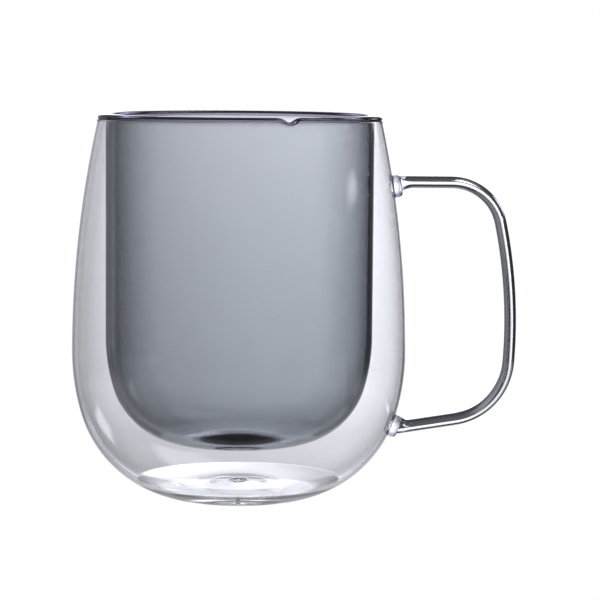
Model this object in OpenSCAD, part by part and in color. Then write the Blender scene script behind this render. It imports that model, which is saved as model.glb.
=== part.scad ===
// Double-walled glass cup with a smoke-grey liner and a flat glass strap handle.
// Millimetres, +Z up. The origin is the centre of the base, on the table.
// The handle lies in the XZ plane, on the +X side.

/* [Outer wall] */
// Height of the cup, from the table to the top of the rim
cup_h = 103.8; // [98:0.1:112]
// Largest outside diameter of the body
belly_d = 90; // [86:0.5:98]
// Height at which the body is widest
belly_z = 40.2; // [38:0.1:43]
// Radius of the long curve from the belly up to the rim
side_r = 286; // [250:1:340]
// Radius of the curve just below the belly
haunch_r = 60; // [52:1:70]
// Height at which the haunch runs into the base corner
haunch_z = 23.4; // [21:0.1:26]
// Thickness of the outer glass
outer_t = 1.4; // [1:0.1:1.8]

/* [Liner] */
// Air gap between the two walls at the mouth
mouth_gap = 0.9; // [0.5:0.1:3]
// Thickness of the liner's glass
liner_t = 1.4; // [1:0.1:2]
// Height of the liner's underside above the table
liner_floor_z = 15; // [12:0.5:17]
// Height at which the liner's side starts to curve in
liner_bend_z = 44.3; // [42:0.1:48]
// Radius of the liner's first, gentle curve
liner_haunch_r = 50; // [45:1:60]
// Height at which that curve runs into the liner's bottom corner
liner_haunch_z = 30.3; // [28:0.1:33]
// Radius of the thick knob of glass in the middle of the liner's floor
knob_r = 11; // [7:0.5:13]
// Height of that knob above the floor
knob_h = 1.5; // [0.8:0.1:4]

/* [Rim] */
// Height of the fused bead that joins the two walls at the mouth
rim_h = 2.2; // [1.8:0.1:3]
// Rounding of the bead's top edges
rim_edge_r = 1.1; // [0.6:0.1:1.5]

/* [Base] */
// Width of the flat ring that the cup stands on
foot_w = 3.4; // [2:0.1:4.5]
// Depth of the hollow pushed up into the base, inside that ring
hollow_h = 2.2; // [1.2:0.1:2.6]
// Diameter of the vent hole through the base
vent_d = 3.2; // [2:0.1:4]

/* [Vent seal] */
// How far the seal's head under the base laps past the vent hole
seal_head_lap = 1.6; // [1:0.1:2]
// Height of that head
seal_head_h = 1; // [0.6:0.1:1.1]
// How far the seal's bead inside the wall laps past the vent hole
seal_bead_lap = 0.9; // [0.6:0.1:1.5]
// Height of that bead
seal_bead_h = 0.9; // [0.5:0.1:1.5]
// Rounding of the head and the bead
seal_edge_r = 0.4; // [0.2:0.05:0.45]
// Flat land left around the seal's head
seal_land = 1.2; // [0.6:0.1:1.6]

/* [Handle] */
// Room for the fingers, between the belly and the inside of the grip
finger_room = 26.4; // [22:0.2:34]
// How far the middle of the upper run lies below the top of the rim
upper_run_drop = 17.8; // [14:0.1:22]
// Thickness of the strap, across the loop
strap_t = 3.2; // [2.6:0.1:4.4]
// Width of the strap
strap_w = 9; // [6:0.5:12]
// Rounding of the strap's long edges
strap_edge_r = 1.2; // [0.8:0.1:1.25]
// Radius of the upper bend, at the middle of the strap
upper_bend_r = 13.5; // [10:0.5:18]
// Radius of the lower bend, at the middle of the strap
lower_bend_r = 17; // [12:0.5:19]
// Outward lean of the grip at its upper end, in degrees
grip_upper_lean = 12; // [8:0.5:15]
// Inward lean of the grip at its lower end, in degrees
grip_lower_lean = 4; // [2:0.5:8]
// Downward slope of the lower run towards the wall, in degrees
lower_run_slope = 9; // [5:0.5:12]

/* [Weld pads] */
// How far the upper pad's middle lies below the middle of the upper run
upper_pad_drop = 1.2; // [0:0.1:1.4]
// Height of the lower pad's middle, where it meets the wall
lower_pad_z = 20.3; // [18:0.1:24]
// Height of each pad, up the wall
pad_h = 6; // [5:0.1:8]
// How far each pad stands out past the strap's two edges
pad_side = 1; // [0.5:0.1:2]
// Thickness of each pad at its middle
pad_t = 1.8; // [1.4:0.1:2.4]

/* [Hidden] */
$fn = 180;

clear_glass = [0.86, 0.88, 0.92, 0.4];
smoke_glass = [0.42, 0.45, 0.49, 0.7];

// Fineness of the largest circles
fine = 256;

// Outer wall: the side curve, the haunch and the base corner run into one another.
belly_r = belly_d / 2;
haunch_sin = (belly_z - haunch_z) / haunch_r;
haunch_cos = sqrt(1 - haunch_sin * haunch_sin);
corner_r = haunch_z / (1 - haunch_sin);
corner_c = [belly_r - haunch_r * (1 - haunch_cos) - corner_r * haunch_cos, corner_r];

// Both walls end under the bead.
rim_z = cup_h - rim_h;
rim_r = side_radius(rim_z, 0);

// Liner: a straight side above the same kind of haunch and corner.
liner_r = hundredth(side_radius(rim_z, outer_t) - mouth_gap);
liner_sin = (liner_bend_z - liner_haunch_z) / liner_haunch_r;
liner_cos = sqrt(1 - liner_sin * liner_sin);
liner_corner_r = (liner_haunch_z - liner_floor_z) / (1 - liner_sin);
liner_corner_c = [
    liner_r - liner_haunch_r * (1 - liner_cos) - liner_corner_r * liner_cos,
    liner_floor_z + liner_corner_r
];
mouth_r = liner_r - liner_t;

// The hollow takes up the flat of the base inside the standing ring, and the seal sits at its top.
hollow_r = corner_c[0] - foot_w;
seal_head_r = vent_d / 2 + seal_head_lap;
seal_bead_r = vent_d / 2 + seal_bead_lap;
land_r = seal_head_r + seal_land;

// Handle: the middle line runs out level, round the upper bend, down the bowed grip, round the
// lower bend and back in. Headings are clockwise from +X, seen from -Y.
grip_x = belly_r + finger_room + strap_t / 2;
upper_run_z = cup_h - upper_run_drop;
upper_pad_z = upper_run_z - upper_pad_drop;
upper_heading = 90 - grip_upper_lean;
lower_heading = 90 + grip_lower_lean;
end_heading = 180 - lower_run_slope;
lower_end = [wall_r(lower_pad_z), lower_pad_z]
    + pad_t * [cos(wall_tilt(lower_pad_z)), sin(wall_tilt(lower_pad_z))];
pad_w = strap_w + 2 * pad_side;

// The grip's bow is the one that brings the lower run to the middle of the lower pad's face.
lower_bend_dx = lower_bend_r * (sin(end_heading) - sin(lower_heading));
lower_bend_dz = lower_bend_r * (cos(lower_heading) - cos(end_heading));
upper_bend_dz = upper_bend_r * (1 - cos(upper_heading));
lower_run_dz = (grip_x + lower_bend_dx - lower_end[0]) * tan(lower_run_slope);
grip_bow_r = (upper_run_z - lower_end[1] - upper_bend_dz - lower_bend_dz - lower_run_dz)
    / (cos(upper_heading) - cos(lower_heading) - (1 - sin(lower_heading)) * tan(lower_run_slope));

grip_c = [grip_x - grip_bow_r, upper_run_z - upper_bend_dz - grip_bow_r * cos(upper_heading)];
upper_bend_c = [
    grip_c[0] + (grip_bow_r - upper_bend_r) * sin(upper_heading),
    upper_run_z - upper_bend_r
];
lower_bend_c = grip_c + (grip_bow_r - lower_bend_r) * [sin(lower_heading), cos(lower_heading)];
lower_run_start = lower_bend_c + lower_bend_r * [sin(end_heading), cos(end_heading)];

// The runs and the grip end a little way inside the bends, and are a hair slimmer there, so that
// the strap is one solid.
join_l = 0.3;
join_slim = 0.02;

// A length to the nearest hundredth of a millimetre.
function hundredth(x) = round(100 * x) / 100;

// Radius of the side curve at height z, above the belly, on a surface taken in by an inset.
function side_radius(z, inset) = belly_r - side_r + sqrt(pow(side_r - inset, 2) - pow(z - belly_z, 2));

// Radius of the outer wall's outside at height z.
function wall_r(z) =
    z > belly_z ? side_radius(z, 0) :
    z > haunch_z ? belly_r - haunch_r + sqrt(pow(haunch_r, 2) - pow(z - belly_z, 2)) :
    corner_c[0] + sqrt(pow(corner_r, 2) - pow(z - corner_c[1], 2));

// Upward tilt of the outer wall's normal at height z.
function wall_tilt(z) =
    z > belly_z ? asin((z - belly_z) / side_r) :
    z > haunch_z ? asin((z - belly_z) / haunch_r) :
    asin((z - corner_c[1]) / corner_r);

// Region inside the outer wall, taken in by an inset, as a half section.
module body_section(inset = 0) {
    joint_z = haunch_z + inset * haunch_sin;
    intersection() {
        translate([belly_r - side_r, belly_z]) circle(side_r - inset, $fn = fine);
        translate([0, belly_z]) square([belly_r, rim_z - belly_z]);
    }
    intersection() {
        translate([belly_r - haunch_r, belly_z]) circle(haunch_r - inset, $fn = fine);
        translate([0, joint_z]) square([belly_r, belly_z - joint_z]);
    }
    intersection() {
        union() {
            translate(corner_c) circle(corner_r - inset);
            square([corner_c[0], joint_z]);
        }
        translate([0, inset]) square([belly_r, joint_z - inset]);
    }
}

// Hollow under the base, let out by an outset: a cap of a sphere with a flat top.
module hollow_section(outset = 0) {
    ball_drop = (pow(hollow_r, 2) - pow(land_r, 2) - pow(hollow_h, 2)) / (2 * hollow_h);
    intersection() {
        translate([0, -ball_drop]) circle(norm([hollow_r, ball_drop]) + outset);
        square([belly_r, hollow_h + outset]);
    }
}

module outer_wall() {
    color(clear_glass)
    rotate_extrude()
    difference() {
        body_section();
        difference() {
            body_section(outer_t);
            hollow_section(outer_t);
        }
        hollow_section();
        square([vent_d / 2, hollow_h + outer_t]);
    }
}

// Region inside the liner's outside, taken in by an inset, as a half section.
module liner_section(inset = 0) {
    joint_z = liner_haunch_z + inset * liner_sin;
    translate([0, liner_bend_z]) square([liner_r - inset, rim_z - liner_bend_z]);
    intersection() {
        translate([liner_r - liner_haunch_r, liner_bend_z]) circle(liner_haunch_r - inset, $fn = fine);
        translate([0, joint_z]) square([liner_r, liner_bend_z - joint_z]);
    }
    intersection() {
        union() {
            translate(liner_corner_c) circle(liner_corner_r - inset);
            translate([0, liner_floor_z]) square([liner_corner_c[0], joint_z - liner_floor_z]);
        }
        translate([0, liner_floor_z + inset]) square([liner_r, joint_z - liner_floor_z - inset]);
    }
}

// Low dome of glass on the liner's floor.
module knob_section() {
    ball_r = (pow(knob_r, 2) + pow(knob_h, 2)) / (2 * knob_h);
    floor_top = liner_floor_z + liner_t;
    intersection() {
        translate([0, floor_top + knob_h - ball_r]) circle(ball_r);
        translate([0, floor_top]) square([liner_r, knob_h]);
    }
}

module liner() {
    color(smoke_glass)
    rotate_extrude() {
        difference() {
            liner_section();
            liner_section(liner_t);
        }
        knob_section();
    }
}

module rim_bead() {
    bead_w = hundredth(rim_r - mouth_r);
    color(smoke_glass)
    rotate_extrude() {
        translate([mouth_r, rim_z]) square([bead_w, rim_h - rim_edge_r]);
        translate([mouth_r + rim_edge_r, rim_z]) square([bead_w - 2 * rim_edge_r, rim_h]);
        for (w = [rim_edge_r, bead_w - rim_edge_r])
            translate([mouth_r + w, cup_h - rim_edge_r]) circle(rim_edge_r);
    }
}

// Half section of a round button that stands on the axis, with its top edge rounded.
module button_section(r, h) {
    square([r - seal_edge_r, h]);
    square([r, h - seal_edge_r]);
    translate([r - seal_edge_r, h - seal_edge_r]) circle(seal_edge_r);
}

module vent_seal() {
    color(clear_glass)
    rotate_extrude() {
        translate([0, hollow_h]) mirror([0, 1]) button_section(seal_head_r, seal_head_h);
        translate([0, hollow_h]) square([vent_d / 2, outer_t]);
        translate([0, hollow_h + outer_t]) button_section(seal_bead_r, seal_bead_h);
    }
}

// Cross-section of the strap, taken in by an inset: X across its thickness, Y across its width.
module strap_section(inset) {
    core_t = strap_t - 2 * strap_edge_r;
    core_w = strap_w - 2 * strap_edge_r;
    edge_r = strap_edge_r - inset;
    square([core_t + 2 * edge_r, core_w], center = true);
    square([core_t, core_w + 2 * edge_r], center = true);
    for (x = [-core_t / 2, core_t / 2], y = [-core_w / 2, core_w / 2])
        translate([x, y]) circle(edge_r, $fn = 48);
}

// A bend of the strap about a centre in the XZ plane, between two headings.
module strap_bend(centre, r, from_heading, to_heading, inset = 0) {
    translate([centre[0], 0, centre[1]])
    rotate([90, 0, 0])
    rotate([0, 0, 90 - to_heading])
    rotate_extrude(angle = to_heading - from_heading, $fn = fine)
    translate([r, 0])
    strap_section(inset);
}

// A straight run of the strap from a point of the XZ plane, which also reaches back into the bend
// that it comes from.
module strap_run(start, heading, length) {
    translate([start[0], 0, start[1]])
    rotate([0, 90 + heading, 0])
    translate([0, 0, -join_l])
    linear_extrude(join_l + length)
    strap_section(join_slim);
}

// Places its children on the wall at height z, with Z along the wall's normal.
module on_wall(z) {
    translate([wall_r(z), 0, z])
    rotate([0, 90 - wall_tilt(z), 0])
    children();
}

// Everything on the wall's side of a pad's outer face.
module behind_pad(z) {
    reach = 2 * pad_w;
    on_wall(z)
    translate([-reach / 2, -reach / 2, pad_t - reach])
    cube(reach);
}

module handle() {
    upper_run_start = [upper_bend_c[0], upper_run_z];
    upper_run_l = upper_bend_c[0] - wall_r(upper_pad_z);
    lower_run_l = norm(lower_end - lower_run_start) + pad_t;
    inward = 180;
    grip_lap = join_l / grip_bow_r * 180 / PI;
    color(clear_glass)
    difference() {
        union() {
            strap_run(upper_run_start, inward, upper_run_l);
            strap_bend(upper_bend_c, upper_bend_r, 0, upper_heading);
            strap_bend(grip_c, grip_bow_r, upper_heading - grip_lap, lower_heading + grip_lap, join_slim);
            strap_bend(lower_bend_c, lower_bend_r, lower_heading, end_heading);
            strap_run(lower_run_start, end_heading, lower_run_l);
        }
        behind_pad(upper_pad_z);
        behind_pad(lower_pad_z);
    }
}

// Oval pad fused to the wall at height z.
module weld_pad(z) {
    round_r = pad_h / 2;
    color(clear_glass)
    difference() {
        on_wall(z)
        translate([0, 0, -pad_t])
        linear_extrude(2 * pad_t) {
            square([pad_h, pad_w - pad_h], center = true);
            for (side = [-1, 1])
                translate([0, side * (pad_w / 2 - round_r)]) circle(round_r);
        }
        rotate_extrude($fn = fine) body_section();
    }
}

outer_wall();
liner();
rim_bead();
vent_seal();
handle();
weld_pad(upper_pad_z);  // upper_weld_pad
weld_pad(lower_pad_z);  // lower_weld_pad
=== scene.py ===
"""Looks of a double-walled glass cup, built around its packed solids.

Run as a script. Lengths are in metres and +Z is up. The origin is the middle of the base, and the handle is
on the +X side."""

import math

import bmesh
import bpy
from bpy.props import FloatProperty, FloatVectorProperty, PointerProperty
from mathutils import Matrix, Vector


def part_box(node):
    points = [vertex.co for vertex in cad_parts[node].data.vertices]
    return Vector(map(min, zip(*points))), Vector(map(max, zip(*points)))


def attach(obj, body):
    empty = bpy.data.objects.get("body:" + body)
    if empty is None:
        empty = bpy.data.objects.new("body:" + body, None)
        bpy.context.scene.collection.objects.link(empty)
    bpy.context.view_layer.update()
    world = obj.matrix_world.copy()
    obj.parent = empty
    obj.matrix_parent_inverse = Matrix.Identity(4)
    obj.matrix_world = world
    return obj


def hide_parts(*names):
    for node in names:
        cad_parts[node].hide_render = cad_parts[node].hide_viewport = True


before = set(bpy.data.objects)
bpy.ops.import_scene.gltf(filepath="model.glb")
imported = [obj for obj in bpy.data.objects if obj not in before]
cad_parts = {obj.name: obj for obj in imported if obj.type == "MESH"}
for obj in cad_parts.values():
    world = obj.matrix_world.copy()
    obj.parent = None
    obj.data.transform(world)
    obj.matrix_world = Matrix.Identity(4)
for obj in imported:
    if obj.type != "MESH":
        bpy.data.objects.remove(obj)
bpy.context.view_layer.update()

bl_info = {
    "name": "Double-Walled Glass Cup",
    "version": (1, 0, 0),
    "blender": (4, 5, 0),
    "location": "View3D > Sidebar > Glass Cup",
    "description": "Makes a double-walled glass cup with a smoke-grey liner and a strap handle",
    "category": "Add Mesh",
}

WALL_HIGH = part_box("outer_wall")[1]
LINER_LOW, LINER_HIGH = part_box("liner")
RIM_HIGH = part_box("rim_bead")[1]
SEAL_LOW, SEAL_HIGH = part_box("vent_seal")
STRAP_LOW, STRAP_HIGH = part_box("handle")
PAD_LOW, PAD_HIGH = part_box("upper_weld_pad")

# Air left between two pieces that are welded, so that no two faces lie on one another.
WELD_GAP = 0.00003


def a_length(name, description, default):
    """A property that holds a length."""
    return FloatProperty(
        name=name, description=description, default=default, min=0, precision=5, unit="LENGTH"
    )


def an_angle(name, description, degrees):
    """A property that holds an angle."""
    return FloatProperty(
        name=name, description=description, default=math.radians(degrees), subtype="ANGLE"
    )


def a_level(name, description, default):
    """A property that holds a plain number."""
    return FloatProperty(name=name, description=description, default=default, min=0)


def a_colour(name, description, default):
    """A property that holds a colour."""
    return FloatVectorProperty(
        name=name, description=description, default=default, min=0, max=1, subtype="COLOR"
    )


class CupSizes(bpy.types.PropertyGroup):
    """Sizes of the two walls, the rim and the base."""

    cup_height: a_length("Cup height", "From the table to the top of the rim", RIM_HIGH.z)
    belly_radius: a_length("Belly radius", "Outside radius where the body is widest", WALL_HIGH.y)
    belly_height: a_length("Belly height", "Height at which the body is widest", 0.0402)
    side_radius: a_length("Side curve", "Radius of the curve from the belly up to the rim", 0.286)
    haunch_radius: a_length("Haunch curve", "Radius of the curve just below the belly", 0.060)
    haunch_height: a_length("Haunch height", "Height at which the haunch meets the base corner", 0.0234)
    wall_thickness: a_length("Wall thickness", "Thickness of the outer glass", 0.0006)
    wall_floor: a_length("Wall floor", "Height of the flat floor inside the outer wall", 0.0048)
    liner_radius: a_length("Liner radius", "Outside radius of the liner's straight side", LINER_HIGH.x)
    liner_thickness: a_length("Liner thickness", "Thickness of the liner's glass", 0.0014)
    liner_floor: a_length("Liner floor", "Height of the liner's underside", LINER_LOW.z)
    liner_bend: a_length("Liner bend", "Height at which the liner's side starts to curve in", 0.0443)
    liner_haunch_radius: a_length("Liner haunch", "Radius of the liner's first, gentle curve", 0.050)
    liner_haunch_height: a_length("Liner haunch height", "Height at which that curve ends", 0.0303)
    liner_floor_thickness: a_length("Liner floor thickness", "Thickness of the liner's floor", 0.0010)
    knob_radius: a_length("Knob radius", "Radius of the thick knob on the liner's floor", 0.011)
    knob_height: a_length("Knob height", "Height of that knob above the floor", 0.0015)
    bead_height: a_length("Bead height", "Height of the dark bead on top of both walls", 0.0014)
    rim_edge: a_length("Rim rounding", "Rounding of the bead's lower edges", 0.0002)
    rim_side: a_length("Rim side", "Height of the bead's sides below its rounded top", 0.0004)
    sag_turn: an_angle("Sag turn", "Place of the small sag in the rim, from the front to the right", 21.4)
    sag_width: a_length("Sag width", "Half the width of that sag", 0.0016)
    sag_depth: a_length("Sag depth", "How far the rim sags there", 0.0012)
    sag_reach: a_length("Sag reach", "How far below the rim the walls follow the sag", 0.006)
    foot_width: a_length("Foot width", "Width of the flat ring that the cup stands on", 0.0034)
    hollow_height: a_length("Hollow height", "Depth of the hollow inside that ring", 0.0022)
    vent_radius: a_length("Vent radius", "Radius of what is left of the vent in the base", 0.0004)
    seal_head_radius: a_length("Seal head", "Radius of the seal's head under the base", SEAL_HIGH.x)
    seal_bead_radius: a_length("Seal bead", "Radius of the seal's bead inside the wall", 0.0023)
    seal_bead_height: a_length("Seal bead height", "Height of that bead above the floor", 0.0004)
    seal_lip: a_length("Seal lip", "Thickness of the seal's head and bead at their edges", 0.0001)
    seal_land: a_length("Seal land", "Flat land left around the seal's head", 0.0012)
    soft_edge: a_length("Soft edge", "Rounding of the walls' own corners", 0.0003)


class HandleSizes(bpy.types.PropertyGroup):
    """Sizes of the strap handle and its weld pads."""

    strap_thickness: a_length("Strap thickness", "Thickness of the strap, across the loop", 0.0032)
    strap_width: a_length("Strap width", "Width of the strap", STRAP_HIGH.y - STRAP_LOW.y)
    strap_nose: a_length("Strap nose", "Depth of the oval rounding of the strap's long edges", 0.0032)
    reach: a_length("Reach", "Distance of the grip's outside from the cup's axis", STRAP_HIGH.x)
    top: a_length("Top", "Height of the upper run's upper face", STRAP_HIGH.z)
    upper_bend: a_length("Upper bend", "Radius of the upper bend, at the strap's middle", 0.0135)
    lower_bend: a_length("Lower bend", "Radius of the lower bend, at the strap's middle", 0.017)
    upper_lean: an_angle("Upper lean", "Outward lean of the grip at its upper end", 12)
    lower_lean: an_angle("Lower lean", "Inward lean of the grip at its lower end", 4)
    lower_slope: an_angle("Lower slope", "Downward slope of the lower run towards the wall", 9)
    upper_pad_drop: a_length("Upper pad drop", "Upper pad's middle below the middle of the run", 0.0012)
    lower_pad_height: a_length("Lower pad height", "Height of the lower pad's middle on the wall", 0.0203)
    pad_height: a_length("Pad height", "Height of each pad, up the wall", 0.006)
    pad_width: a_length("Pad width", "Width of each pad, across the handle", PAD_HIGH.y - PAD_LOW.y)
    pad_thickness: a_length("Pad thickness", "Thickness of each pad at its middle", 0.0018)
    pad_lip: a_length("Pad lip", "Thickness of each pad at its edge", 0.0004)
    pad_edge: a_length("Pad rounding", "How far each pad's rounded edge reaches in", 0.0008)
    flare: a_length("Flare", "How far the strap spreads where it meets a pad", 0.0008)
    flare_length: a_length("Flare length", "Length of the strap over which it spreads", 0.0035)


class GlassLook(bpy.types.PropertyGroup):
    """Colours of the two kinds of glass, and of the painted shade on them."""

    clear_pale: a_colour("Clear glass", "Clear glass", (1.0, 1.0, 1.0))
    clear_deep: a_colour("Clear glass streaks", "Faint streaks in the clear glass", (0.97, 0.975, 0.985))
    smoke_pale: a_colour("Smoke glass", "Surface tint of the smoke glass at the rim", (1.0, 1.0, 1.0))
    smoke_deep: a_colour("Smoke glass streaks", "Faint streaks in the smoke glass", (0.96, 0.965, 0.97))
    # Painted shade: the smoke glass is tinted darker towards its foot, standing in for the light that falls
    # off there.
    smoke_foot_shade: a_colour("Smoke foot", "Surface tint of the smoke glass at its foot", (0.87, 0.88, 0.89))
    # Painted shade: near-black tint that stands in for the dark seen through the thick knob.
    smoke_knob_shade: a_colour("Smoke knob", "Surface tint of the knob on the liner's floor", (0.015, 0.0165, 0.02))
    # Painted shade: dark tint that stands in for the dark outlines of the smoke glass where it is seen edge
    # on.
    smoke_edge_shade: a_colour("Smoke edge", "Tint of the smoke glass where it is seen edge on", (0.22, 0.23, 0.28))
    # Painted shade: grey that stands in for the dark edges the handle shows where it is seen edge on.
    clear_edge_shade: a_colour("Clear edge", "Tint of the handle where it is seen edge on", (0.12, 0.12, 0.18))
    smoke_inside: a_colour("Smoke inside", "Colour that the smoke glass lets through", (0.35, 0.40, 0.43))
    smoke_density: a_level("Smoke density", "How strongly the smoke glass takes up light, for a metre", 300)
    bead_inside: a_colour("Bead inside", "Colour that the bead's glass lets through", (0.40, 0.39, 0.50))
    bead_density: a_level("Bead density", "How strongly the bead's glass takes up light, for a metre", 600)


class StageLook(bpy.types.PropertyGroup):
    """Light of the room around the cup."""

    surround_level: a_level("Surround", "Brightness of what shows through the glass", 1.1)
    backdrop_level: a_level("Backdrop", "Brightness of the white panel behind the cup", 1.6)
    left_level: a_level("Left panel", "Brightness of the soft panel on the left", 0.26)
    right_level: a_level("Right panel", "Brightness of the tall panel on the right", 2.5)
    lamp_level: a_level("Lamp", "Brightness of the small soft lamp on the right", 2.5)
    table_level: a_level("Table", "Brightness of the table around the cup", 0.5)
    overhead_level: a_level("Overhead panel", "Brightness of the panel overhead", 2.0)
    room_level: a_level("Room", "Brightness of the rest of the room", 0.11)
    light_tint: a_colour("Light tint", "Colour of all the light", (0.925, 0.932, 1.0))


# Node trees

def put(tree, kind, inputs=None, **settings):
    """Adds a node, and fills its inputs with values or with the outputs of other nodes."""
    node = tree.nodes.new(kind)
    for name, value in settings.items():
        setattr(node, name, value)
    for name, value in (inputs or {}).items():
        if isinstance(value, bpy.types.NodeSocket):
            tree.links.new(value, node.inputs[name])
        else:
            node.inputs[name].default_value = value
    return node


def maths(tree, operation, *values):
    """Result of a sum on plain values or on the outputs of other nodes."""
    return put(tree, "ShaderNodeMath", dict(enumerate(values)), operation=operation).outputs[0]


def mix_colours(tree, factor, first, second, blend="MIX"):
    """Mixes two colours. The Mix node's colour sockets share their names, so they go by number."""
    mix = put(tree, "ShaderNodeMix", data_type="RGBA", blend_type=blend)
    for number, value in ((0, factor), (6, first), (7, second)):
        if isinstance(value, bpy.types.NodeSocket):
            tree.links.new(value, mix.inputs[number])
        else:
            mix.inputs[number].default_value = value
    return mix.outputs[2]


def new_tree(name, kind, inputs, outputs):
    """A node group with named sockets, given as name and socket type."""
    tree = bpy.data.node_groups.new(name, kind)
    for side, sockets in (("INPUT", inputs), ("OUTPUT", outputs)):
        for socket, socket_type in sockets:
            tree.interface.new_socket(socket, in_out=side, socket_type=socket_type)
    return tree


def set_input(modifier, name, value):
    """Sets a geometry tree's named input by its identifier."""
    for item in modifier.node_group.interface.items_tree:
        if item.item_type == "SOCKET" and item.in_out == "INPUT" and item.name == name:
            modifier[item.identifier] = value
            return
    raise KeyError(name)


# Materials

GLASS_IOR = 1.47
STREAK_SCALE = 90.0
RIPPLE_SCALE = 60.0
# Streaks and ripples are drawn out upwards, so their height is scaled down.
DRAWN_OUT = (1.0, 1.0, 0.12)
# Smears start and end at these levels of their noise, and are this rough at most.
SMEARS_START, SMEARS_END = 0.55, 0.8
SMEAR_ROUGHNESS = 0.02
CLEAR_RIPPLE = 0.00002
SMOKE_RIPPLE = 0.00001
# How far a glass is turned away where its painted edge shade starts and where it is full.
STRAP_EDGE_SHADE = (0.12, 0.6)
PAD_EDGE_SHADE = (0.02, 0.3)
SMOKE_EDGE_SHADE = (0.22, 1.0)
# Share of the knob's radius that is fully covered by its painted shade.
KNOB_SHADE_CORE = 0.5
# Heights above the liner's underside between which its floor has no painted edge shade, each from start to
# end.
UNDERSIDE = (0.0003, 0.0006)
FLOOR_EDGE_SHADE = (0.0020, 0.0032)


def blown_glass_group():
    """Shared surface of blown glass: faint streaks drawn upwards, smears, a slow ripple and painted shade
    that darkens it from the top height down to its foot.
    """
    name = "Blown_glass_surface"
    if name in bpy.data.node_groups:
        return bpy.data.node_groups[name]
    tree = new_tree(
        name,
        "ShaderNodeTree",
        [
            ("Pale", "NodeSocketColor"),
            ("Deep", "NodeSocketColor"),
            ("Foot", "NodeSocketColor"),
            ("Foot Height", "NodeSocketFloat"),
            ("Top Height", "NodeSocketFloat"),
            ("Streaks", "NodeSocketFloat"),
            ("Ripples", "NodeSocketFloat"),
            ("Most Roughness", "NodeSocketFloat"),
        ],
        [("Colour", "NodeSocketColor"), ("Roughness", "NodeSocketFloat"), ("Height", "NodeSocketFloat")],
    )
    given = put(tree, "NodeGroupInput").outputs
    place = put(tree, "ShaderNodeTexCoord").outputs["Object"]
    drawn = put(tree, "ShaderNodeMapping", {"Vector": place, "Scale": DRAWN_OUT}).outputs["Vector"]
    streaks = put(tree, "ShaderNodeTexNoise", {"Vector": drawn, "Scale": given["Streaks"], "Detail": 3.0})
    streaked = mix_colours(tree, streaks.outputs["Fac"], given["Pale"], given["Deep"])
    height = put(tree, "ShaderNodeSeparateXYZ", {"Vector": place}).outputs["Z"]
    climb = put(
        tree,
        "ShaderNodeMapRange",
        {"Value": height, "From Min": given["Foot Height"], "From Max": given["Top Height"]},
    )
    # Painted shade: the colour darkens from the top height down to the foot height.
    shaded_by_height = mix_colours(tree, climb.outputs["Result"], given["Foot"], (1.0, 1.0, 1.0, 1.0))
    colour = mix_colours(tree, 1.0, streaked, shaded_by_height, "MULTIPLY")
    smears = put(tree, "ShaderNodeTexNoise", {"Vector": place, "Scale": given["Streaks"], "Detail": 5.0})
    rough = put(
        tree,
        "ShaderNodeMapRange",
        {
            "Value": smears.outputs["Fac"],
            "From Min": SMEARS_START,
            "From Max": SMEARS_END,
            "To Max": given["Most Roughness"],
        },
    )
    ripple = put(tree, "ShaderNodeTexNoise", {"Vector": drawn, "Scale": given["Ripples"], "Detail": 1.0})
    put(
        tree,
        "NodeGroupOutput",
        {
            "Colour": colour,
            "Roughness": rough.outputs["Result"],
            "Height": ripple.outputs["Fac"],
        },
    )
    return tree


def share_between(tree, value, ends):
    """How far a value has come from one end to the other, from 0 to 1."""
    share = put(tree, "ShaderNodeMapRange", {"Value": value, "From Min": ends[0], "From Max": ends[1]})
    return share.outputs["Result"]


def edge_shade_share(tree, ends):
    """How far the glass is seen edge on, from 0 to 1, which sets its painted edge shade."""
    return share_between(tree, put(tree, "ShaderNodeLayerWeight").outputs["Facing"], ends)


def glass_material(name, pale, deep, foot, ripple_depth):
    """A glass with the shared surface, its shader and its output, which its maker may add to."""
    material = bpy.data.materials.new(name)
    material.use_nodes = True
    tree = material.node_tree
    tree.nodes.clear()
    surface = put(tree, "ShaderNodeGroup", node_tree=blown_glass_group())
    surface.inputs["Pale"].default_value = (*pale, 1.0)
    surface.inputs["Deep"].default_value = (*deep, 1.0)
    surface.inputs["Foot"].default_value = (*foot, 1.0)
    surface.inputs["Foot Height"].default_value = LINER_LOW.z
    surface.inputs["Top Height"].default_value = LINER_HIGH.z
    surface.inputs["Streaks"].default_value = STREAK_SCALE
    surface.inputs["Ripples"].default_value = RIPPLE_SCALE
    surface.inputs["Most Roughness"].default_value = SMEAR_ROUGHNESS
    bump = put(
        tree,
        "ShaderNodeBump",
        {"Height": surface.outputs["Height"], "Strength": 1.0, "Distance": ripple_depth},
    )
    shader = put(
        tree,
        "ShaderNodeBsdfPrincipled",
        {
            "Base Color": surface.outputs["Colour"],
            "Roughness": surface.outputs["Roughness"],
            "Normal": bump.outputs["Normal"],
            "IOR": GLASS_IOR,
            "Transmission Weight": 1.0,
        },
    )
    output = put(tree, "ShaderNodeOutputMaterial", {"Surface": shader.outputs["BSDF"]})
    return material, surface, shader, output


def clear_glass():
    """Clear borosilicate glass."""
    name = "polished_clear_glass"
    if name in bpy.data.materials:
        return bpy.data.materials[name]
    look = bpy.context.scene.glass_look
    return glass_material(name, look.clear_pale, look.clear_deep, look.clear_pale, CLEAR_RIPPLE)[0]


def drawn_glass(name, edge_shade_ends):
    """Clear glass of the handle or its pads, with painted shade that greys it where it is seen edge on."""
    if name in bpy.data.materials:
        return bpy.data.materials[name]
    look = bpy.context.scene.glass_look
    material, surface, shader, _ = glass_material(
        name, look.clear_pale, look.clear_deep, look.clear_pale, CLEAR_RIPPLE
    )
    tree = material.node_tree
    edge = edge_shade_share(tree, edge_shade_ends)
    # Painted shade: the glass is greyed where it is seen edge on.
    colour = mix_colours(tree, edge, surface.outputs["Colour"], (*look.clear_edge_shade, 1.0))
    tree.links.new(colour, shader.inputs["Base Color"])
    return material


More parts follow.
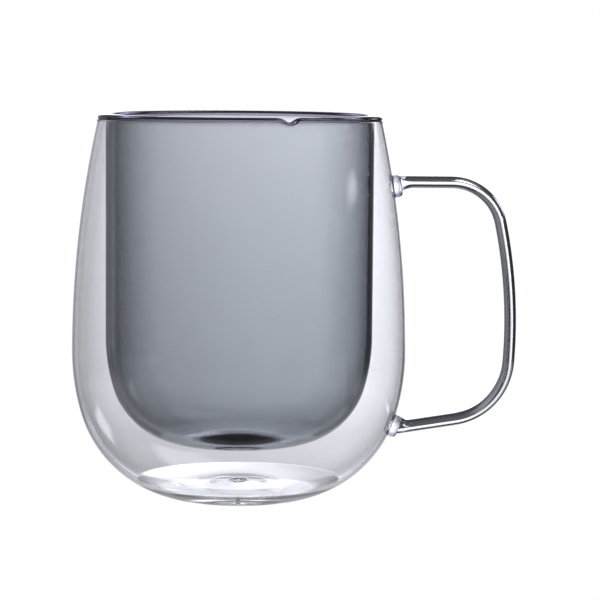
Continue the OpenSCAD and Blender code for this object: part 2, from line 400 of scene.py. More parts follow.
def smoke_glass(name, inside_colour, density):
    """Smoke-grey glass, darker the more of it the light crosses, with painted shade at its edges and on the
    liner's knob.
    """
    if name in bpy.data.materials:
        return bpy.data.materials[name]
    look = bpy.context.scene.glass_look
    material, surface, shader, output = glass_material(
        name, look.smoke_pale, look.smoke_deep, look.smoke_foot_shade, SMOKE_RIPPLE
    )
    tree = material.node_tree
    inside = put(
        tree,
        "ShaderNodeVolumeAbsorption",
        {"Color": (*inside_colour, 1.0), "Density": density},
    )
    tree.links.new(inside.outputs["Volume"], output.inputs["Volume"])
    place = put(tree, "ShaderNodeTexCoord").outputs["Object"]
    flat = put(tree, "ShaderNodeMapping", {"Vector": place, "Scale": (1.0, 1.0, 0.0)}).outputs["Vector"]
    off_axis = put(tree, "ShaderNodeVectorMath", {0: flat}, operation="LENGTH").outputs["Value"]
    knob_radius = bpy.context.scene.cup_sizes.knob_radius
    beside = share_between(tree, off_axis, (KNOB_SHADE_CORE * knob_radius, knob_radius))
    height = put(tree, "ShaderNodeSeparateXYZ", {"Vector": place}).outputs["Z"]
    above = maths(tree, "SUBTRACT", height, LINER_LOW.z)
    underside = maths(tree, "SUBTRACT", 1.0, share_between(tree, above, UNDERSIDE))
    outside_knob_shade = maths(tree, "MAXIMUM", beside, underside)
    # Painted shade: the knob is tinted near black, except on the liner's underside.
    colour = mix_colours(tree, outside_knob_shade, (*look.smoke_knob_shade, 1.0), surface.outputs["Colour"])
    # Painted shade: the smoke glass is darkened where it is seen edge on, except on the top of the liner's
    # floor.
    edge_shaded = maths(tree, "MAXIMUM", underside, share_between(tree, above, FLOOR_EDGE_SHADE))
    edge = maths(tree, "MULTIPLY", edge_shade_share(tree, SMOKE_EDGE_SHADE), edge_shaded)
    colour = mix_colours(tree, edge, colour, (*look.smoke_edge_shade, 1.0))
    tree.links.new(colour, shader.inputs["Base Color"])
    return material


# Half sections, as points of radius and height

POINT_STEP = 0.0012
CORNER_TURN = math.radians(25)
CORNER_STEPS = 4
# A corner's rounding takes at most this share of the sides next to it.
MOST_OF_SIDE = 0.45
BEAD_STEPS = 28


def arc(centre, radius, start, end):
    """Points along an arc. Angles are from outwards towards up."""
    steps = max(4, math.ceil(radius * abs(end - start) / POINT_STEP))
    angles = [start + (end - start) * i / steps for i in range(steps + 1)]
    return [Vector((centre[0] + radius * math.cos(a), centre[1] + radius * math.sin(a))) for a in angles]


def cap(radius, low, high):
    """Points of a shallow dome, from its edge to the axis."""
    rise = high - low
    ball = (radius**2 + rise**2) / (2 * abs(rise))
    spread = math.asin(radius / ball)
    up = math.copysign(math.pi / 2, rise)
    return arc((0, high - math.copysign(ball, rise)), ball, up - math.copysign(spread, rise), up)


def soften(points, reach, closed):
    """Rounds the corners of an outline."""
    softened = []
    for i, point in enumerate(points):
        before, after = points[i - 1], points[(i + 1) % len(points)]
        at_end = not closed and i in (0, len(points) - 1)
        if at_end or (point - before).angle(after - point, 0) < CORNER_TURN:
            softened.append(point)
            continue
        start = point.lerp(before, min(MOST_OF_SIDE, reach / (point - before).length))
        end = point.lerp(after, min(MOST_OF_SIDE, reach / (point - after).length))
        for k in range(CORNER_STEPS + 1):
            t = k / CORNER_STEPS
            softened.append(start.lerp(point, t).lerp(point.lerp(end, t), t))
    return softened


def haunch_angle(upper, lower, radius):
    """Angle below level at which a haunch that starts at one height reaches a lower one."""
    return math.asin((upper - lower) / radius)


def wall_top(s):
    """Height at which both walls run into the rim bead."""
    return s.cup_height - s.bead_height


def wall_corner(s):
    """Centre and radius of the outer wall's base corner."""
    turn = haunch_angle(s.belly_height, s.haunch_height, s.haunch_radius)
    radius = s.haunch_height / (1 - math.sin(turn))
    across = s.belly_radius - s.haunch_radius * (1 - math.cos(turn)) - radius * math.cos(turn)
    return (across, radius), radius


def wall_side(s, inset):
    """Outer wall from its flat base up to the rim, taken in by an inset."""
    turn = haunch_angle(s.belly_height, s.haunch_height, s.haunch_radius)
    corner, corner_radius = wall_corner(s)
    side_radius = s.side_radius - inset
    top = math.asin((wall_top(s) - s.belly_height) / side_radius)
    haunch = (s.belly_radius - s.haunch_radius, s.belly_height)
    side = (s.belly_radius - s.side_radius, s.belly_height)
    return (
        arc(corner, corner_radius - inset, -math.pi / 2, -turn)[:-1]
        + arc(haunch, s.haunch_radius - inset, -turn, 0)[:-1]
        + arc(side, side_radius, 0, top)
    )


def hollow_arc(s):
    """Hollow under the base, from the flat land round the seal down to the table."""
    corner, _ = wall_corner(s)
    hollow_radius = corner[0] - s.foot_width
    land = s.seal_head_radius + s.seal_land
    height = s.hollow_height
    drop = (hollow_radius**2 - land**2 - height**2) / (2 * height)
    radius = math.hypot(hollow_radius, drop)
    return arc((0, -drop), radius, math.asin((height + drop) / radius), math.asin(drop / radius))


def wall_section(s):
    """Half section of the outer wall, a closed outline."""
    under = [Vector((s.vent_radius, s.hollow_height))] + hollow_arc(s)
    inside = [p for p in wall_side(s, s.wall_thickness)[::-1] if p.y > s.wall_floor]
    (across, up), radius = wall_corner(s)
    floor_radius = across + math.sqrt((radius - s.wall_thickness) ** 2 - (up - s.wall_floor) ** 2)
    floor = [Vector((floor_radius, s.wall_floor)), Vector((s.vent_radius, s.wall_floor))]
    return soften(under + wall_side(s, 0) + inside + floor, s.soft_edge, True)


def liner_side(s, inset, floor_inset):
    """Liner from its flat floor up to the rim, taken in by one inset at its side and another at its floor."""
    turn = haunch_angle(s.liner_bend, s.liner_haunch_height, s.liner_haunch_radius)
    corner_radius = (s.liner_haunch_height - s.liner_floor) / (1 - math.sin(turn))
    across = s.liner_radius - s.liner_haunch_radius * (1 - math.cos(turn)) - corner_radius * math.cos(turn)
    corner = (across, s.liner_floor + corner_radius)
    haunch = (s.liner_radius - s.liner_haunch_radius, s.liner_bend)
    steps = math.ceil((wall_top(s) - s.liner_bend) / POINT_STEP)
    rise = [s.liner_bend + (wall_top(s) - s.liner_bend) * i / steps for i in range(1, steps + 1)]
    bottom = arc(corner, corner_radius, -math.pi / 2, -turn)
    centre = Vector(corner)
    for i, point in enumerate(bottom):
        taken = floor_inset + (inset - floor_inset) * i / (len(bottom) - 1)
        bottom[i] = point.lerp(centre, taken / corner_radius)
    return (
        bottom[:-1]
        + arc(haunch, s.liner_haunch_radius - inset, -turn, 0)
        + [Vector((s.liner_radius - inset, z)) for z in rise]
    )


def liner_section(s):
    """Half section of the liner, from the axis under its floor to the axis on top of its knob."""
    floor = s.liner_floor + s.liner_floor_thickness
    knob = cap(s.knob_radius, floor, floor + s.knob_height)
    inside = liner_side(s, s.liner_thickness, s.liner_floor_thickness)[::-1]
    outside = [Vector((0, s.liner_floor))] + liner_side(s, 0, 0)
    return soften(outside + inside + knob, s.soft_edge, False)


def rim_section(s):
    """Half section of the rim bead, a closed outline with an oval top."""
    edge = s.rim_edge
    low = wall_top(s) + WELD_GAP
    inner, outer = s.liner_radius - s.liner_thickness, wall_side(s, 0)[-1].x
    middle, half = (outer + inner) / 2, (outer - inner) / 2
    shoulder = low + s.rim_side
    dome = []
    for k in range(BEAD_STEPS + 1):
        a = math.pi * k / BEAD_STEPS
        dome.append(Vector((middle + half * math.cos(a), shoulder + (s.cup_height - shoulder) * math.sin(a))))
    return (
        arc((outer - edge, low + edge), edge, -math.pi / 2, 0)
        + dome
        + arc((inner + edge, low + edge), edge, math.pi, 1.5 * math.pi)
    )


def seal_section(s):
    """Half section of the vent seal, from the axis under its head to the axis on top of its bead."""
    stem = s.vent_radius - WELD_GAP
    head, bead = s.seal_head_radius, s.seal_bead_radius
    head_top = s.hollow_height - WELD_GAP
    bead_low = s.wall_floor + WELD_GAP
    under = cap(head, head_top - s.seal_lip, SEAL_LOW.z)[::-1]
    over = cap(bead, bead_low + s.seal_lip, s.wall_floor + s.seal_bead_height)
    neck = [
        Vector((head, head_top)),
        Vector((stem, head_top)),
        Vector((stem, bead_low)),
        Vector((bead, bead_low)),
    ]
    return under + neck + over


def sag_rim(mesh, s):
    """Lets the rim sag a little at one place, in both walls and the bead alike."""
    across = Vector((math.cos(s.sag_turn), math.sin(s.sag_turn), 0))
    facing = Vector((math.sin(s.sag_turn), -math.cos(s.sag_turn), 0))
    for vertex in mesh.vertices:
        below = (s.cup_height - vertex.co.z) / s.sag_reach
        if below < 1 and vertex.co.dot(facing) > 0:
            beside = vertex.co.dot(across) / s.sag_width
            vertex.co.z -= s.sag_depth * math.exp(-(beside**2)) * (1 - below) ** 2


# Turning a section about the axis

AXIS_OFFSET = 0.01
FACETS_ROUND = 320
WELD_DISTANCE = 0.000002
SHARP_TURN = math.radians(40)


def turning_tree():
    """Geometry tree that turns a half section about the cup's axis."""
    name = "Turned_glass"
    if name in bpy.data.node_groups:
        return bpy.data.node_groups[name]
    tree = new_tree(
        name,
        "GeometryNodeTree",
        [
            ("Section", "NodeSocketGeometry"),
            ("Facets Round", "NodeSocketInt"),
            ("Axis Offset", "NodeSocketFloat"),
            ("Weld Distance", "NodeSocketFloat"),
            ("Glass", "NodeSocketMaterial"),
        ],
        [("Piece", "NodeSocketGeometry")],
    )
    given = put(tree, "NodeGroupInput").outputs
    section = put(tree, "GeometryNodeMeshToCurve", {"Mesh": given["Section"]})
    ring = put(
        tree,
        "GeometryNodeCurvePrimitiveCircle",
        {"Resolution": given["Facets Round"], "Radius": given["Axis Offset"]},
    )
    upright = put(tree, "GeometryNodeSetCurveNormal", {"Curve": ring.outputs["Curve"]}, mode="Z_UP")
    skin = put(
        tree,
        "GeometryNodeCurveToMesh",
        {"Curve": upright.outputs["Curve"], "Profile Curve": section.outputs["Curve"]},
    )
    weld = put(
        tree,
        "GeometryNodeMergeByDistance",
        {"Geometry": skin.outputs["Mesh"], "Distance": given["Weld Distance"]},
    )
    dress(tree, weld.outputs["Geometry"], given["Glass"])
    return tree


def dress(tree, geometry, glass):
    """Ends a geometry tree: smooth shading, real geometry and its glass."""
    smooth = put(tree, "GeometryNodeSetShadeSmooth", {"Geometry": geometry})
    real = put(tree, "GeometryNodeRealizeInstances", {"Geometry": smooth.outputs["Geometry"]})
    dressed = put(tree, "GeometryNodeSetMaterial", {"Geometry": real.outputs["Geometry"], "Material": glass})
    put(tree, "NodeGroupOutput", {"Piece": dressed.outputs["Geometry"]})


def line_object(name, points, closed):
    """An object whose mesh is one line through the points."""
    mesh = bpy.data.meshes.new(name + "_line")
    edges = [(i, i + 1) for i in range(len(points) - 1)]
    if closed:
        edges.append((len(points) - 1, 0))
    mesh.from_pydata(points, edges, [])
    line = bpy.data.objects.new(name + "_line", mesh)
    bpy.context.scene.collection.objects.link(line)
    return line


def grown_piece(name, line, tree, values):
    """Runs a geometry tree on a line, and returns the result as a piece with a plain mesh."""
    modifier = line.modifiers.new(tree.name, "NODES")
    modifier.node_group = tree
    for key, value in values.items():
        set_input(modifier, key, value)
    depsgraph = bpy.context.evaluated_depsgraph_get()
    mesh = bpy.data.meshes.new_from_object(line.evaluated_get(depsgraph), depsgraph=depsgraph)
    mesh.name = name
    drawn = line.data
    bpy.data.objects.remove(line)
    bpy.data.meshes.remove(drawn)
    piece = bpy.data.objects.new(name, mesh)
    bpy.context.scene.collection.objects.link(piece)
    return piece


def turned_piece(name, section, closed, glass):
    """A piece turned about the cup's axis from its half section."""
    points = [(p.x - AXIS_OFFSET, -p.y, 0) for p in section]
    values = {
        "Facets Round": FACETS_ROUND,
        "Axis Offset": AXIS_OFFSET,
        "Weld Distance": WELD_DISTANCE,
        "Glass": glass,
    }
    return grown_piece(name, line_object(name, points, closed), turning_tree(), values)


def seat_piece(piece, node):
    """Points the faces outwards, keeps sharp corners sharp and ties the piece to the frame."""
    solid = bmesh.new()
    solid.from_mesh(piece.data)
    bmesh.ops.recalc_face_normals(solid, faces=solid.faces)
    solid.to_mesh(piece.data)
    solid.free()
    piece.data.set_sharp_from_angle(angle=SHARP_TURN)
    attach(piece, "root")
    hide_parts(node)


# Handle

def wall_radius(s, z):
    """Radius of the outer wall's outside at a height."""
    if z > s.belly_height:
        return s.belly_radius - s.side_radius + math.sqrt(s.side_radius**2 - (z - s.belly_height) ** 2)
    if z > s.haunch_height:
        return s.belly_radius - s.haunch_radius + math.sqrt(s.haunch_radius**2 - (z - s.belly_height) ** 2)
    (across, up), radius = wall_corner(s)
    return across + math.sqrt(radius**2 - (z - up) ** 2)


def wall_tilt(s, z):
    """Upward tilt of the outer wall's normal at a height."""
    if z > s.belly_height:
        return math.asin((z - s.belly_height) / s.side_radius)
    if z > s.haunch_height:
        return math.asin((z - s.belly_height) / s.haunch_radius)
    (_, up), radius = wall_corner(s)
    return math.asin((z - up) / radius)


def pad_place(s, z):
    """Middle of a pad on the wall at a height, and its directions outwards and upwards."""
    tilt = wall_tilt(s, z)
    middle = Vector((wall_radius(s, z), 0, z))
    return middle, Vector((math.cos(tilt), 0, math.sin(tilt))), Vector((-math.sin(tilt), 0, math.cos(tilt)))


def upper_pad_height(h):
    """Height of the upper pad's middle."""
    return h.top - h.strap_thickness / 2 - h.upper_pad_drop


def heading_point(centre, radius, heading):
    """Point of a bend where the strap, seen from the front, has turned clockwise to a heading."""
    return Vector((centre[0] + radius * math.sin(heading), 0, centre[1] + radius * math.cos(heading)))


def bend_points(centre, radius, start, end):
    """Points along a bend of the strap's middle line."""
    steps = math.ceil(radius * abs(end - start) / POINT_STEP)
    return [heading_point(centre, radius, start + (end - start) * i / steps) for i in range(steps + 1)]


def strap_path(s, h):
    """Middle line of the strap, from the upper pad's face round to the lower pad's face."""
    run_z = h.top - h.strap_thickness / 2
    grip_x = h.reach - h.strap_thickness / 2
    upper, lower = math.pi / 2 - h.upper_lean, math.pi / 2 + h.lower_lean
    last = math.pi - h.lower_slope
    slope = math.tan(h.lower_slope)
    middle, out, _ = pad_place(s, h.lower_pad_height)
    lower_end = middle + out * (h.pad_thickness + WELD_GAP)
    upper_dz = h.upper_bend * (1 - math.cos(upper))
    lower_dx = h.lower_bend * (math.sin(last) - math.sin(lower))
    lower_dz = h.lower_bend * (math.cos(lower) - math.cos(last))
    run_dz = (grip_x + lower_dx - lower_end.x) * slope
    bow = (run_z - lower_end.z - upper_dz - lower_dz - run_dz) / (
        math.cos(upper) - math.cos(lower) - (1 - math.sin(lower)) * slope
    )
    grip = (grip_x - bow, run_z - upper_dz - bow * math.cos(upper))
    upper_centre = (grip[0] + (bow - h.upper_bend) * math.sin(upper), run_z - h.upper_bend)
    lower_centre = heading_point(grip, bow - h.lower_bend, lower)
    middle, out, _ = pad_place(s, upper_pad_height(h))
    face = middle + out * (h.pad_thickness + WELD_GAP)
    upper_end = Vector((face.x - (run_z - face.z) * out.z / out.x, 0, run_z))
    return (
        [upper_end]
        + bend_points(upper_centre, h.upper_bend, 0, upper)[:-1]
        + bend_points(grip, bow, upper, lower)[:-1]
        + bend_points((lower_centre.x, lower_centre.z), h.lower_bend, lower, last)
        + [lower_end]
    )


# Share of the strap's thickness that its edge rounding takes, a little under half so that a flat remains.
NEARLY_HALF = 0.499
NOSE_STEPS = 18
STRAP_STEP = 0.0004


def strap_tree():
    """Geometry tree that draws a strap with oval edges along a path."""
    name = "Drawn_strap"
    if name in bpy.data.node_groups:
        return bpy.data.node_groups[name]
    tree = new_tree(
        name,
        "GeometryNodeTree",
        [
            ("Path", "NodeSocketGeometry"),
            ("Strap Width", "NodeSocketFloat"),
            ("Strap Thickness", "NodeSocketFloat"),
            ("Nose Stretch", "NodeSocketFloat"),
            ("Nose Steps", "NodeSocketInt"),
            ("Step", "NodeSocketFloat"),
            ("Glass", "NodeSocketMaterial"),
        ],
        [("Piece", "NodeSocketGeometry")],
    )
    given = put(tree, "NodeGroupInput").outputs
    path = put(tree, "GeometryNodeMeshToCurve", {"Mesh": given["Path"]})
    even = put(
        tree,
        "GeometryNodeResampleCurve",
        {"Curve": path.outputs["Curve"], "Length": given["Step"]},
        mode="LENGTH",
    )
    squat = put(
        tree,
        "ShaderNodeMath",
        {0: given["Strap Width"], 1: given["Nose Stretch"]},
        operation="DIVIDE",
    )
    block = put(
        tree,
        "GeometryNodeCurvePrimitiveQuadrilateral",
        {"Width": squat.outputs[0], "Height": given["Strap Thickness"]},
    )
    half = put(tree, "ShaderNodeMath", {0: given["Strap Thickness"], 1: NEARLY_HALF}, operation="MULTIPLY")
    rounded = put(
        tree,
        "GeometryNodeFilletCurve",
        {"Curve": block.outputs["Curve"], "Count": given["Nose Steps"], "Radius": half.outputs[0]},
        mode="POLY",
    )
    stretch = put(tree, "ShaderNodeCombineXYZ", {"X": given["Nose Stretch"], "Y": 1.0, "Z": 1.0})
    oval = put(
        tree,
        "GeometryNodeTransform",
        {"Geometry": rounded.outputs["Curve"], "Scale": stretch.outputs["Vector"]},
    )
    skin = put(
        tree,
        "GeometryNodeCurveToMesh",
        {"Curve": even.outputs["Curve"], "Profile Curve": oval.outputs["Geometry"], "Fill Caps": True},
    )
    dress(tree, skin.outputs["Mesh"], given["Glass"])
    return tree


def fit_strap_end(mesh, end, inwards, out, h, side):
    """Cuts one end of the strap to its pad's face and spreads it there on one side, up or down."""
    spread = inwards.cross(Vector((0, 1, 0)))
    spread *= side * math.copysign(1, spread.z)
    for vertex in mesh.vertices:
        back = (end - vertex.co).dot(inwards)
        lift = (vertex.co - end).dot(spread)
        if not -h.strap_thickness < back < h.flare_length or abs(lift) > h.strap_thickness:
            continue
        share = max(0.0, 1 - max(0.0, back) / h.flare_length)
        if lift > 0:
            vertex.co += spread * h.flare * share**2 * lift / (h.strap_thickness / 2)
        flat = vertex.co + inwards * back
        vertex.co -= inwards * (share * (flat - end).dot(out) / inwards.dot(out))


# Weld pads

def skin_mesh(name, rings):
    """A closed mesh through rings of points, with its first and last ring closed."""
    count = len(rings[0])
    points = [p for ring in rings for p in ring]
    faces = []
    for r in range(len(rings) - 1):
        for i in range(count):
            j = (i + 1) % count
            faces.append((r * count + i, r * count + j, (r + 1) * count + j, (r + 1) * count + i))
    for ring, start in ((rings[0], 0), (rings[-1], (len(rings) - 1) * count)):
        points.append(sum(ring, Vector()) / count)
        faces += [(len(points) - 1, start + (i + 1) % count, start + i) for i in range(count)]
    mesh = bpy.data.meshes.new(name)
    mesh.from_pydata(points, [], faces)
    mesh.shade_smooth()
    return mesh


PAD_POINTS = 72
PAD_RINGS = 8
WALL_SEARCH = 0.004
WALL_HALVINGS = 40


def pad_outline(h, inset):
    """Oval outline of a pad, taken in by an inset, as points across and up."""
    end = h.pad_height / 2 - inset
    straight = h.pad_width / 2 - h.pad_height / 2
    outline = []
    for i in range(PAD_POINTS):
        a = 2 * math.pi * i / PAD_POINTS
        outline.append((end * math.cos(a) + math.copysign(straight, math.cos(a)), end * math.sin(a)))
    return outline


def on_wall(s, point, out):
    """The point moved along a direction until it lies just off the outer wall."""
    near, far = -WALL_SEARCH, WALL_SEARCH
    for _ in range(WALL_HALVINGS):
        depth = (near + far) / 2
        tried = point + out * depth
        if math.hypot(tried.x, tried.y) < wall_radius(s, tried.z) + WELD_GAP:
            near = depth
        else:
            far = depth
    return point + out * near


def weld_pad(name, s, h, z):
    """An oval pad on the wall at a height."""
    middle, out, up = pad_place(s, z)
    across = Vector((0, 1, 0))

    def place(outline, scale, rise):
        return [middle + (across * y + up * v) * scale + out * rise for y, v in outline]

    full = pad_outline(h, 0)
    rings = []
    for k in range(1, PAD_RINGS + 1):
        rings.append([on_wall(s, p, out) for p in place(full, k / PAD_RINGS, 0)])
    for k in range(PAD_RINGS + 1):
        a = math.pi / 2 * k / PAD_RINGS
        inset = h.pad_edge * (1 - math.cos(a))
        rise = h.pad_lip + (h.pad_thickness - h.pad_lip) * math.sin(a)
        rings.append(place(pad_outline(h, inset), 1, rise))
    face = pad_outline(h, h.pad_edge)
    for k in range(PAD_RINGS - 1, 0, -1):
        rings.append(place(face, k / PAD_RINGS, h.pad_thickness))
    piece = bpy.data.objects.new(name, skin_mesh(name, rings))
    bpy.context.scene.collection.objects.link(piece)
    piece.data.materials.append(drawn_glass("melted_clear_glass", PAD_EDGE_SHADE))
    return piece


# Operators

class GLASSCUP_OT_outer_wall(bpy.types.Operator):
    """Make the clear outer wall"""

    bl_idname = "glass_cup.outer_wall"
    bl_label = "Outer Wall"

    def execute(self, context):
        piece = turned_piece("blown_outer_wall", wall_section(context.scene.cup_sizes), True, clear_glass())
        sag_rim(piece.data, context.scene.cup_sizes)
        seat_piece(piece, "outer_wall")
        return {"FINISHED"}


class GLASSCUP_OT_liner(bpy.types.Operator):
    """Make the smoke-grey liner with its knob"""

    bl_idname = "glass_cup.liner"
    bl_label = "Liner"

    def execute(self, context):
        look = context.scene.glass_look
        glass = smoke_glass("polished_smoke_glass", look.smoke_inside, look.smoke_density)
        piece = turned_piece("smoke_liner", liner_section(context.scene.cup_sizes), False, glass)
        sag_rim(piece.data, context.scene.cup_sizes)
        seat_piece(piece, "liner")
        return {"FINISHED"}


class GLASSCUP_OT_rim_bead(bpy.types.Operator):
    """Make the fused bead at the mouth"""

    bl_idname = "glass_cup.rim_bead"
    bl_label = "Rim Bead"

    def execute(self, context):
        look = context.scene.glass_look
        glass = smoke_glass("fused_smoke_glass", look.bead_inside, look.bead_density)
        piece = turned_piece("fused_rim_bead", rim_section(context.scene.cup_sizes), True, glass)
        sag_rim(piece.data, context.scene.cup_sizes)
        seat_piece(piece, "rim_bead")
        return {"FINISHED"}


class GLASSCUP_OT_vent_seal(bpy.types.Operator):
    """Make the drop of glass that closes the vent"""

    bl_idname = "glass_cup.vent_seal"
    bl_label = "Vent Seal"

    def execute(self, context):
        piece = turned_piece("drop_vent_seal", seal_section(context.scene.cup_sizes), False, clear_glass())
        seat_piece(piece, "vent_seal")
        return {"FINISHED"}


class GLASSCUP_OT_handle(bpy.types.Operator):
    """Make the strap handle"""

    bl_idname = "glass_cup.handle"
    bl_label = "Handle"

    def execute(self, context):
        s, h = context.scene.cup_sizes, context.scene.handle_sizes
        path = strap_path(s, h)
        values = {
            "Strap Width": h.strap_width,
            "Strap Thickness": h.strap_thickness,
            "Nose Stretch": h.strap_nose / (h.strap_thickness / 2),
            "Nose Steps": NOSE_STEPS,
            "Step": STRAP_STEP,
            "Glass": drawn_glass("drawn_clear_glass", STRAP_EDGE_SHADE),
        }
        piece = grown_piece("drawn_strap_handle", line_object("strap", path, False), strap_tree(), values)
        ends = (
            (path[0], path[1], upper_pad_height(h), -1),
            (path[-1], path[-2], h.lower_pad_height, 1),
        )
        for end, before, z, side in ends:
            fit_strap_end(piece.data, end, (end - before).normalized(), pad_place(s, z)[1], h, side)
        seat_piece(piece, "handle")
        return {"FINISHED"}


class GLASSCUP_OT_weld_pads(bpy.types.Operator):
    """Make the two pads that join the handle to the wall"""

    bl_idname = "glass_cup.weld_pads"
    bl_label = "Weld Pads"

    def execute(self, context):
        s, h = context.scene.cup_sizes, context.scene.handle_sizes
        for name, node, z in (
            ("melted_upper_pad", "upper_weld_pad", upper_pad_height(h)),
            ("melted_lower_pad", "lower_weld_pad", h.lower_pad_height),
        ):
            seat_piece(weld_pad(name, s, h, z), node)
        return {"FINISHED"}


# Stage

def grey_ramp(tree, factor, stops):
    """A ramp of greys, given as place and brightness."""
    ramp = put(tree, "ShaderNodeValToRGB", {"Fac": factor})
    elements = ramp.color_ramp.elements
    while len(elements) < len(stops):
        elements.new(1.0)
    for element, (place, _) in zip(elements, stops):
        element.position = place
    for element, (_, level) in zip(elements, stops):
        element.color = (level, level, level, 1.0)
    return ramp.outputs["Color"]


# Brightness by degrees round the room (0 is behind the cup, 90 is on the right) and by degrees up the room
# (0 is level with the cup, 90 is overhead). The surround is what shows through the glass. The panels are what
# the glass mirrors.
SURROUND_ROUND = (
    (-60, 1.2), (-30, 0.72), (-14, 0.67), (-9, 0.7), (-7, 0.8), (-4, 0.97), (-1, 1.17), (1, 1.28), (5, 1.34),
    (13, 1.48), (20, 1.65), (35, 1.7), (60, 1.3),
)
SURROUND_UP = (
    (-50, 1.2), (-25, 1.05), (-15, 0.98), (-13, 0.85), (-11.5, 0.6), (-9.2, 0.64), (-8, 0.8), (-2, 1.03),
    (20, 1.1)
)
BACKDROP_ROUND = (
    (-26, 0.0), (-11, 0.5), (-8, 1.7), (-4.5, 1.7), (-3, 1.1), (-1.5, 0.9), (0, 1.2), (4, 1.3), (8, 1.3),
    (12, 0.5), (18, 0.0)
)
BACKDROP_UP = (
    (-13, 0.0), (-9, 0.5), (-2, 0.8), (5, 1.0), (7.6, 1.6), (8.7, 1.6), (9.2, 0.7), (13, 0.7), (19, 0.0)
)
LEFT_ROUND = ((-52, 0.0), (-46, 1.0), (-28, 1.0), (-20, 0.0))
LEFT_UP = ((-16, 0.0), (-8, 1.0), (35, 1.0), (50, 0.0))
RIGHT_ROUND = ((28, 0.0), (33, 1.0), (42, 1.0), (46, 0.0))
RIGHT_UP = ((5, 0.0), (9, 1.0), (17, 1.0), (21, 0.0))
LAMP_ROUND = ((79, 0.0), (84, 1.0), (89, 1.0), (94, 0.0))
LAMP_UP = ((7.6, 0.0), (8.8, 1.0), (9.8, 1.0), (11.2, 0.0))
TABLE_ROUND = (
    (-125, 0.0), (-80, 1.0), (-50, 0.4), (-20, 0.4), (-12, 1.0), (12, 1.0), (20, 0.3), (50, 0.3), (80, 1.0),
    (125, 0.0)
)
TABLE_UP = ((-60, 0.0), (-45, 1.0), (-15, 1.0), (-9, 0.0))
ROOM_UP = ((0, 0.45), (35, 1.0))
OVERHEAD_ROUND = ((12, 0.0), (22, 1.0), (58, 1.0), (68, 0.0))
OVERHEAD_UP = ((44, 0.0), (50, 1.0), (66, 1.0), (72, 0.0))


def panel_of_light(tree, turn, rise, round_stops, up_stops):
    """Brightness of a panel, by the direction in the room."""
    across = grey_ramp(tree, turn, [(0.5 + degrees / 360, level) for degrees, level in round_stops])
    up = grey_ramp(tree, rise, [(0.5 + degrees / 180, level) for degrees, level in up_stops])
    return maths(tree, "MULTIPLY", across, up)


def room_light(look):
    """World with a pale surround and panels of light. The camera itself sees white."""
    world = bpy.data.worlds.new("Studio_room")
    world.use_nodes = True
    tree = world.node_tree
    tree.nodes.clear()
    way = put(tree, "ShaderNodeTexCoord").outputs["Generated"]
    part = put(tree, "ShaderNodeSeparateXYZ", {"Vector": way}).outputs
    around = maths(tree, "ARCTAN2", part["X"], part["Y"])
    turn = maths(tree, "MULTIPLY_ADD", around, 0.5 / math.pi, 0.5)
    climb = maths(tree, "ARCSINE", part["Z"])
    rise = maths(tree, "MULTIPLY_ADD", climb, 1 / math.pi, 0.5)
    backdrop = panel_of_light(tree, turn, rise, BACKDROP_ROUND, BACKDROP_UP)
    left = panel_of_light(tree, turn, rise, LEFT_ROUND, LEFT_UP)
    right = panel_of_light(tree, turn, rise, RIGHT_ROUND, RIGHT_UP)
    lamp = panel_of_light(tree, turn, rise, LAMP_ROUND, LAMP_UP)
    table = panel_of_light(tree, turn, rise, TABLE_ROUND, TABLE_UP)
    overhead = panel_of_light(tree, turn, rise, OVERHEAD_ROUND, OVERHEAD_UP)
    room = grey_ramp(tree, rise, [(0.5 + degrees / 180, level) for degrees, level in ROOM_UP])
    light = maths(tree, "MULTIPLY", room, look.room_level)
    light = maths(tree, "MULTIPLY_ADD", backdrop, look.backdrop_level, light)
    light = maths(tree, "MULTIPLY_ADD", left, look.left_level, light)
    light = maths(tree, "MULTIPLY_ADD", right, look.right_level, light)
    light = maths(tree, "MULTIPLY_ADD", lamp, look.lamp_level, light)
    light = maths(tree, "MULTIPLY_ADD", table, look.table_level, light)
    light = maths(tree, "MULTIPLY_ADD", overhead, look.overhead_level, light)
    surround = panel_of_light(tree, turn, rise, SURROUND_ROUND, SURROUND_UP)
    surround = maths(tree, "MULTIPLY", surround, look.surround_level)
    path = put(tree, "ShaderNodeLightPath").outputs
    mirrored = maths(tree, "MINIMUM", path["Glossy Depth"], 1.0)
    step = maths(tree, "SUBTRACT", light, surround)
    light = maths(tree, "MULTIPLY_ADD", mirrored, step, surround)
    lit = put(tree, "ShaderNodeBackground", {"Color": (*look.light_tint, 1.0), "Strength": light})
    white = put(tree, "ShaderNodeBackground", {"Color": (1.0, 1.0, 1.0, 1.0), "Strength": 1.0})
    mixed = put(
        tree,
        "ShaderNodeMixShader",
        {0: path["Is Camera Ray"], 1: lit.outputs["Background"], 2: white.outputs["Background"]},
    )
    put(tree, "ShaderNodeOutputWorld", {"Surface": mixed.outputs["Shader"]})
    return world


def floor_material():
    """Plain white floor."""
    material = bpy.data.materials.new("pale_floor")
    material.use_nodes = True
    tree = material.node_tree
    tree.nodes.clear()
    white = put(tree, "ShaderNodeEmission", {"Color": (1.0, 1.0, 1.0, 1.0), "Strength": 1.0})
    put(tree, "ShaderNodeOutputMaterial", {"Surface": white.outputs["Emission"]})
    return material


CAMERA_PLACE = (0.016372, -0.700, 0.122)
CAMERA_PITCH = math.radians(5.562)
CAMERA_ROLL = math.radians(0.45)
CAMERA_LENS = 156.53
SENSOR_WIDTH = 36.0
CAMERA_CLIP = 0.01
FLOOR_RADIUS = 0.6
FLOOR_SIDES = 96
FLOOR_DROP = 0.0002
GLASS_BOUNCES = 32
MIRROR_BOUNCES = 16


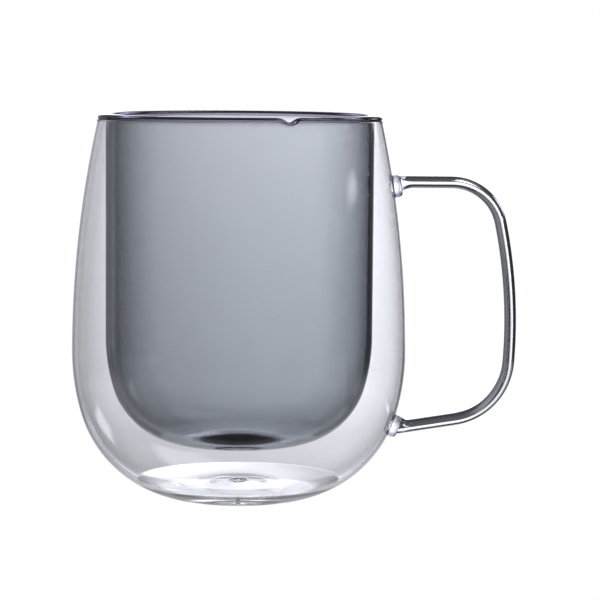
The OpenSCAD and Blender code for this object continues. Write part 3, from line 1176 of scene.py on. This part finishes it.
class GLASSCUP_OT_stage(bpy.types.Operator):
    """Make the floor, the light and the camera"""

    bl_idname = "glass_cup.stage"
    bl_label = "Stage"

    def execute(self, context):
        scene = context.scene
        scene.world = room_light(scene.stage_look)
        scene.view_settings.view_transform = "Standard"
        disc = bmesh.new()
        bmesh.ops.create_circle(disc, cap_ends=True, segments=FLOOR_SIDES, radius=FLOOR_RADIUS)
        bmesh.ops.translate(disc, verts=disc.verts, vec=(0, 0, -FLOOR_DROP))
        mesh = bpy.data.meshes.new("floor")
        disc.to_mesh(mesh)
        disc.free()
        floor = bpy.data.objects.new("floor", mesh)
        floor.data.materials.append(floor_material())
        floor.visible_diffuse = False
        floor.visible_glossy = False
        floor.visible_transmission = False
        scene.collection.objects.link(floor)
        lens = bpy.data.cameras.new("camera")
        lens.lens = CAMERA_LENS
        lens.sensor_width = SENSOR_WIDTH
        lens.clip_start = CAMERA_CLIP
        camera = bpy.data.objects.new("camera", lens)
        scene.collection.objects.link(camera)
        camera.matrix_world = (
            Matrix.Translation(CAMERA_PLACE)
            @ Matrix.Rotation(math.pi / 2 - CAMERA_PITCH, 4, "X")
            @ Matrix.Rotation(CAMERA_ROLL, 4, "Z")
        )
        scene.camera = camera
        scene.cycles.max_bounces = GLASS_BOUNCES
        scene.cycles.transmission_bounces = GLASS_BOUNCES
        scene.cycles.glossy_bounces = MIRROR_BOUNCES
        return {"FINISHED"}


PIECE_OPERATORS = (
    GLASSCUP_OT_outer_wall,
    GLASSCUP_OT_liner,
    GLASSCUP_OT_rim_bead,
    GLASSCUP_OT_vent_seal,
    GLASSCUP_OT_handle,
    GLASSCUP_OT_weld_pads,
    GLASSCUP_OT_stage,
)

SETTINGS = {
    "cup_sizes": CupSizes,
    "handle_sizes": HandleSizes,
    "glass_look": GlassLook,
    "stage_look": StageLook,
}


class GLASSCUP_PT_build(bpy.types.Panel):
    """Lists the cup's sizes, colours and pieces"""

    bl_label = "Glass Cup"
    bl_idname = "GLASSCUP_PT_build"
    bl_space_type = "VIEW_3D"
    bl_region_type = "UI"
    bl_category = "Glass Cup"

    def draw(self, context):
        for name, group in SETTINGS.items():
            box = self.layout.box()
            box.label(text=group.__doc__)
            for setting in group.__annotations__:
                box.prop(getattr(context.scene, name), setting)
        for operator in PIECE_OPERATORS:
            self.layout.operator(operator.bl_idname)


CLASSES = (*SETTINGS.values(), *PIECE_OPERATORS, GLASSCUP_PT_build)


def register():
    for cls in CLASSES:
        bpy.utils.register_class(cls)
    for name, group in SETTINGS.items():
        setattr(bpy.types.Scene, name, PointerProperty(type=group))


def unregister():
    for name in SETTINGS:
        delattr(bpy.types.Scene, name)
    for cls in reversed(CLASSES):
        bpy.utils.unregister_class(cls)


def main():
    """Makes every piece and the stage."""
    register()
    bpy.ops.glass_cup.outer_wall()
    bpy.ops.glass_cup.liner()
    bpy.ops.glass_cup.rim_bead()
    bpy.ops.glass_cup.vent_seal()
    bpy.ops.glass_cup.handle()
    bpy.ops.glass_cup.weld_pads()
    bpy.ops.glass_cup.stage()


if __name__ == "__main__":
    main()
